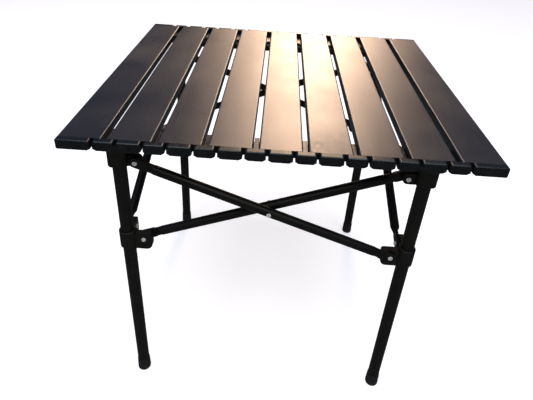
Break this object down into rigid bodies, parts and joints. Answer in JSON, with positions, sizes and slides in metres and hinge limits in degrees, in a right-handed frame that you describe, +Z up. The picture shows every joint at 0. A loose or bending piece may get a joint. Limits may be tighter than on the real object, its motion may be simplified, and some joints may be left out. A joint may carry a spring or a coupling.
{
  "type": "folding side table",
  "caption": "Low square-legged folding camping table: roll-up slatted top on two rails, four legs joined by crossed bars that fold.",
  "frame": {"origin": "on the floor, under the middle of the table's top", "axes": "+X across the slats, +Y along the slats towards the back, +Z up"},
  "size_m": [0.515, 0.467, 0.463],
  "materials": {
    "slat_metal": "satin black-brown coated aluminium",
    "hinge_plastic": "moulded nylon, matte black",
    "frame_tube": "black powder coat, satin",
    "joint_plastic": "moulded nylon, matte black",
    "foot_rubber": "soft matt black",
    "screw_steel": "zinc-plated steel"
  },
  "bodies": {
    "front_left_leg": {"front_left_leg": "frame_tube", "front_left_foot": "foot_rubber", "front_left_head": "joint_plastic"},
    "front_left_collar": {"front_left_collar": "joint_plastic"},
    "front_right_leg": {"front_right_leg": "frame_tube", "front_right_foot": "foot_rubber", "front_right_head": "joint_plastic"},
    "front_right_collar": {"front_right_collar": "joint_plastic"},
    "back_left_leg": {"back_left_leg": "frame_tube", "back_left_foot": "foot_rubber", "back_left_head": "joint_plastic"},
    "back_left_collar": {"back_left_collar": "joint_plastic"},
    "back_right_leg": {"back_right_leg": "frame_tube", "back_right_foot": "foot_rubber", "back_right_head": "joint_plastic"},
    "back_right_collar": {"back_right_collar": "joint_plastic"},
    "front_bar_outer": {"front_bar_outer": "frame_tube", "front_screws_outer": "screw_steel"},
    "front_bar_inner": {"front_bar_inner": "frame_tube", "front_screws_inner": "screw_steel"},
    "right_bar_outer": {"right_bar_outer": "frame_tube", "right_screws_outer": "screw_steel"},
    "right_bar_inner": {"right_bar_inner": "frame_tube", "right_screws_inner": "screw_steel"},
    "back_bar_outer": {"back_bar_outer": "frame_tube", "back_screws_outer": "screw_steel"},
    "back_bar_inner": {"back_bar_inner": "frame_tube", "back_screws_inner": "screw_steel"},
    "left_bar_outer": {"left_bar_outer": "frame_tube", "left_screws_outer": "screw_steel"},
    "left_bar_inner": {"left_bar_inner": "frame_tube", "left_screws_inner": "screw_steel"},
    "front_rail": {"front_rail": "frame_tube"},
    "back_rail": {"back_rail": "frame_tube"},
    "slat_1": {"slat_1": "slat_metal", "end_caps_1": "hinge_plastic"},
    "slat_2": {"slat_2": "slat_metal", "end_caps_2": "hinge_plastic"},
    "slat_3": {"slat_3": "slat_metal", "end_caps_3": "hinge_plastic"},
    "slat_4": {"slat_4": "slat_metal", "end_caps_4": "hinge_plastic"},
    "slat_5": {"slat_5": "slat_metal", "end_caps_5": "hinge_plastic"},
    "slat_6": {"slat_6": "slat_metal", "end_caps_6": "hinge_plastic"},
    "slat_7": {"slat_7": "slat_metal", "end_caps_7": "hinge_plastic"},
    "slat_8": {"slat_8": "slat_metal", "end_caps_8": "hinge_plastic"},
    "slat_9": {"slat_9": "slat_metal", "end_caps_9": "hinge_plastic"},
    "links_1": {"links_1": "hinge_plastic"},
    "links_2": {"links_2": "hinge_plastic"},
    "links_3": {"links_3": "hinge_plastic"},
    "links_4": {"links_4": "hinge_plastic"},
    "links_5": {"links_5": "hinge_plastic"},
    "links_6": {"links_6": "hinge_plastic"},
    "links_7": {"links_7": "hinge_plastic"},
    "links_8": {"links_8": "hinge_plastic"}
  },
  "joints": [
    {"name": "frame_fold", "type": "hinge", "parent": "front_left_leg", "child": "front_bar_outer", "pos_m": [-0.179, -0.1925, 0.416], "axis": [0, 1, 0], "range_deg": [0, 59]},
    {"name": "front_cross", "type": "hinge", "parent": "front_bar_outer", "child": "front_bar_inner", "pos_m": [-0.009, -0.1925, 0.352], "axis": [0, 1, 0], "range_deg": [-118, 0]},
    {"name": "front_left_collar_pivot", "type": "hinge", "parent": "front_bar_inner", "child": "front_left_collar", "pos_m": [-0.179, -0.1925, 0.288], "axis": [0, 1, 0], "range_deg": [0, 59]},
    {"name": "front_right_head_pivot", "type": "hinge", "parent": "front_bar_inner", "child": "front_right_leg", "pos_m": [0.161, -0.1925, 0.416], "axis": [0, 1, 0], "range_deg": [0, 59]},
    {"name": "front_right_collar_pivot", "type": "hinge", "parent": "front_bar_outer", "child": "front_right_collar", "pos_m": [0.161, -0.1925, 0.288], "axis": [0, 1, 0], "range_deg": [-59, 0]},
    {"name": "left_head_pivot", "type": "hinge", "parent": "front_left_leg", "child": "left_bar_inner", "pos_m": [-0.2015, -0.17, 0.416], "axis": [-1, 0, 0], "range_deg": [0, 59]},
    {"name": "left_cross", "type": "hinge", "parent": "left_bar_inner", "child": "left_bar_outer", "pos_m": [-0.2015, 0, 0.352], "axis": [-1, 0, 0], "range_deg": [-118, 0]},
    {"name": "back_left_head_pivot", "type": "hinge", "parent": "left_bar_outer", "child": "back_left_leg", "pos_m": [-0.2015, 0.17, 0.416], "axis": [-1, 0, 0], "range_deg": [0, 59]},
    {"name": "back_left_collar_pivot", "type": "hinge", "parent": "left_bar_inner", "child": "back_left_collar", "pos_m": [-0.2015, 0.17, 0.288], "axis": [-1, 0, 0], "range_deg": [-59, 0]},
    {"name": "right_head_pivot", "type": "hinge", "parent": "front_right_leg", "child": "right_bar_outer", "pos_m": [0.1835, -0.17, 0.416], "axis": [-1, 0, 0], "range_deg": [0, 59]},
    {"name": "right_cross", "type": "hinge", "parent": "right_bar_outer", "child": "right_bar_inner", "pos_m": [0.1835, 0, 0.352], "axis": [-1, 0, 0], "range_deg": [-118, 0]},
    {"name": "back_right_head_pivot", "type": "hinge", "parent": "right_bar_inner", "child": "back_right_leg", "pos_m": [0.1835, 0.17, 0.416], "axis": [-1, 0, 0], "range_deg": [0, 59]},
    {"name": "back_right_collar_pivot", "type": "hinge", "parent": "right_bar_outer", "child": "back_right_collar", "pos_m": [0.1835, 0.17, 0.288], "axis": [-1, 0, 0], "range_deg": [-59, 0]},
    {"name": "back_head_pivot", "type": "hinge", "parent": "back_left_leg", "child": "back_bar_inner", "pos_m": [-0.179, 0.1925, 0.416], "axis": [0, 1, 0], "range_deg": [0, 59]},
    {"name": "back_cross", "type": "hinge", "parent": "back_bar_inner", "child": "back_bar_outer", "pos_m": [-0.009, 0.1925, 0.352], "axis": [0, 1, 0], "range_deg": [-118, 0]},
    {"name": "front_rail_lift", "type": "slide", "parent": "front_left_leg", "child": "front_rail", "axis": [0, 0, 1], "range_m": [0, 0.3094]},
    {"name": "back_rail_lift", "type": "slide", "parent": "front_left_leg", "child": "back_rail", "axis": [0, 0, 1], "range_m": [0, 0.3094]},
    {"name": "top_lift", "type": "slide", "parent": "front_left_leg", "child": "slat_5", "axis": [0, 0, 1], "range_m": [0, 0.4124]},
    {"name": "top_roll", "type": "hinge", "parent": "slat_5", "child": "links_5", "pos_m": [0.0215, 0, 0.4575], "axis": [0, -1, 0], "range_deg": [0, 30]},
    {"name": "links_5_right_pin", "type": "hinge", "parent": "links_5", "child": "slat_6", "pos_m": [0.0365, 0, 0.4575], "axis": [0, -1, 0], "range_deg": [0, 30]},
    {"name": "links_6_left_pin", "type": "hinge", "parent": "slat_6", "child": "links_6", "pos_m": [0.0795, 0, 0.4575], "axis": [0, -1, 0], "range_deg": [0, 36]},
    {"name": "links_6_right_pin", "type": "hinge", "parent": "links_6", "child": "slat_7", "pos_m": [0.0945, 0, 0.4575], "axis": [0, -1, 0], "range_deg": [0, 36]},
    {"name": "links_7_left_pin", "type": "hinge", "parent": "slat_7", "child": "links_7", "pos_m": [0.1375, 0, 0.4575], "axis": [0, -1, 0], "range_deg": [0, 40]},
    {"name": "links_7_right_pin", "type": "hinge", "parent": "links_7", "child": "slat_8", "pos_m": [0.1525, 0, 0.4575], "axis": [0, -1, 0], "range_deg": [0, 40]},
    {"name": "links_8_left_pin", "type": "hinge", "parent": "slat_8", "child": "links_8", "pos_m": [0.1955, 0, 0.4575], "axis": [0, -1, 0], "range_deg": [0, 40]},
    {"name": "links_8_right_pin", "type": "hinge", "parent": "links_8", "child": "slat_9", "pos_m": [0.2105, 0, 0.4575], "axis": [0, -1, 0], "range_deg": [0, 40]},
    {"name": "links_4_right_pin", "type": "hinge", "parent": "slat_5", "child": "links_4", "pos_m": [-0.0215, 0, 0.4575], "axis": [0, 1, 0], "range_deg": [0, 26]},
    {"name": "links_4_left_pin", "type": "hinge", "parent": "links_4", "child": "slat_4", "pos_m": [-0.0365, 0, 0.4575], "axis": [0, 1, 0], "range_deg": [0, 26]},
    {"name": "links_3_right_pin", "type": "hinge", "parent": "slat_4", "child": "links_3", "pos_m": [-0.0795, 0, 0.4575], "axis": [0, 1, 0], "range_deg": [0, 26]},
    {"name": "links_3_left_pin", "type": "hinge", "parent": "links_3", "child": "slat_3", "pos_m": [-0.0945, 0, 0.4575], "axis": [0, 1, 0], "range_deg": [0, 26]},
    {"name": "links_2_right_pin", "type": "hinge", "parent": "slat_3", "child": "links_2", "pos_m": [-0.1375, 0, 0.4575], "axis": [0, 1, 0], "range_deg": [0, 26]},
    {"name": "links_2_left_pin", "type": "hinge", "parent": "links_2", "child": "slat_2", "pos_m": [-0.1525, 0, 0.4575], "axis": [0, 1, 0], "range_deg": [0, 26]},
    {"name": "links_1_right_pin", "type": "hinge", "parent": "slat_2", "child": "links_1", "pos_m": [-0.1955, 0, 0.4575], "axis": [0, 1, 0], "range_deg": [0, 26]},
    {"name": "links_1_left_pin", "type": "hinge", "parent": "links_1", "child": "slat_1", "pos_m": [-0.2105, 0, 0.4575], "axis": [0, 1, 0], "range_deg": [0, 26]}
  ],
  "couplings": [
    {"joint": "front_cross", "follows": "frame_fold", "ratio": -2},
    {"joint": "front_left_collar_pivot", "follows": "frame_fold", "ratio": 1},
    {"joint": "front_right_head_pivot", "follows": "frame_fold", "ratio": 1},
    {"joint": "front_right_collar_pivot", "follows": "frame_fold", "ratio": -1},
    {"joint": "left_head_pivot", "follows": "frame_fold", "ratio": 1},
    {"joint": "left_cross", "follows": "frame_fold", "ratio": -2},
    {"joint": "back_left_head_pivot", "follows": "frame_fold", "ratio": 1},
    {"joint": "back_left_collar_pivot", "follows": "frame_fold", "ratio": -1},
    {"joint": "right_head_pivot", "follows": "frame_fold", "ratio": 1},
    {"joint": "right_cross", "follows": "frame_fold", "ratio": -2},
    {"joint": "back_right_head_pivot", "follows": "frame_fold", "ratio": 1},
    {"joint": "back_right_collar_pivot", "follows": "frame_fold", "ratio": -1},
    {"joint": "back_head_pivot", "follows": "frame_fold", "ratio": 1},
    {"joint": "back_cross", "follows": "frame_fold", "ratio": -2},
    {"joint": "front_rail_lift", "follows": "frame_fold", "m_per_rad": 0.3},
    {"joint": "back_rail_lift", "follows": "frame_fold", "m_per_rad": 0.3},
    {"joint": "top_lift", "follows": "frame_fold", "m_per_rad": 0.4},
    {"joint": "links_5_right_pin", "follows": "top_roll", "ratio": 1},
    {"joint": "links_6_left_pin", "follows": "top_roll", "ratio": 1.2},
    {"joint": "links_6_right_pin", "follows": "top_roll", "ratio": 1.2},
    {"joint": "links_7_left_pin", "follows": "top_roll", "ratio": 1.3333},
    {"joint": "links_7_right_pin", "follows": "top_roll", "ratio": 1.3333},
    {"joint": "links_8_left_pin", "follows": "top_roll", "ratio": 1.3333},
    {"joint": "links_8_right_pin", "follows": "top_roll", "ratio": 1.3333},
    {"joint": "links_4_right_pin", "follows": "top_roll", "ratio": 0.86667},
    {"joint": "links_4_left_pin", "follows": "top_roll", "ratio": 0.86667},
    {"joint": "links_3_right_pin", "follows": "top_roll", "ratio": 0.86667},
    {"joint": "links_3_left_pin", "follows": "top_roll", "ratio": 0.86667},
    {"joint": "links_2_right_pin", "follows": "top_roll", "ratio": 0.86667},
    {"joint": "links_2_left_pin", "follows": "top_roll", "ratio": 0.86667},
    {"joint": "links_1_right_pin", "follows": "top_roll", "ratio": 0.86667},
    {"joint": "links_1_left_pin", "follows": "top_roll", "ratio": 0.86667}
  ]
}
